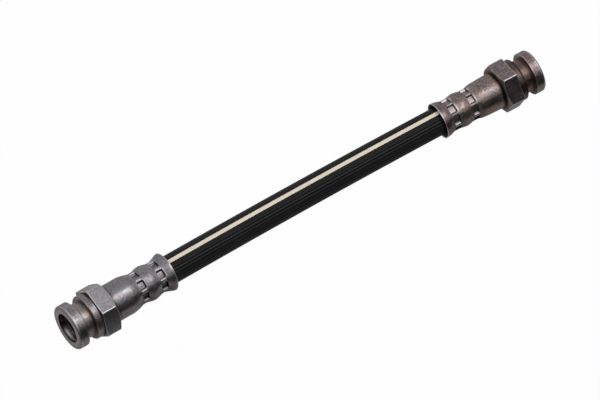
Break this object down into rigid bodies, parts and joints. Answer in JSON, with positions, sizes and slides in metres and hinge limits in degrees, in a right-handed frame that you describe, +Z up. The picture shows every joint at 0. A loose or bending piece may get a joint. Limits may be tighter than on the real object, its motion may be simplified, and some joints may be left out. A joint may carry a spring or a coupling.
{
  "type": "brake hose",
  "caption": "Short hydraulic brake hose: ribbed rubber hose with an identification stripe and a crimped steel socket fitting with hexagon and clip groove on each end.",
  "frame": {"origin": "centre of the bounding box on the surface that the hose lies on", "axes": "+X along the hose from end a to end b, +Z up"},
  "size_m": [0.198, 0.02, 0.0195],
  "materials": {
    "fitting_steel": "dark grey plated turned steel, satin, slightly stained",
    "insert_steel": "plain turned steel",
    "cover_rubber": "satin black, fine lengthwise ribs",
    "stripe_rubber": "matt cream",
    "liner_rubber": "matt black",
    "braid_yarn": "braided off-white yarn"
  },
  "bodies": {
    "root": {"hose_liner": "liner_rubber", "inner_braid": "braid_yarn", "cushion_layer": "liner_rubber", "outer_braid": "braid_yarn", "hose_cover": "cover_rubber", "identification_stripe": "stripe_rubber", "fitting_body_a": "fitting_steel", "insert_nipple_a": "insert_steel", "fitting_body_b": "fitting_steel", "insert_nipple_b": "insert_steel"}
  },
  "joints": []
}
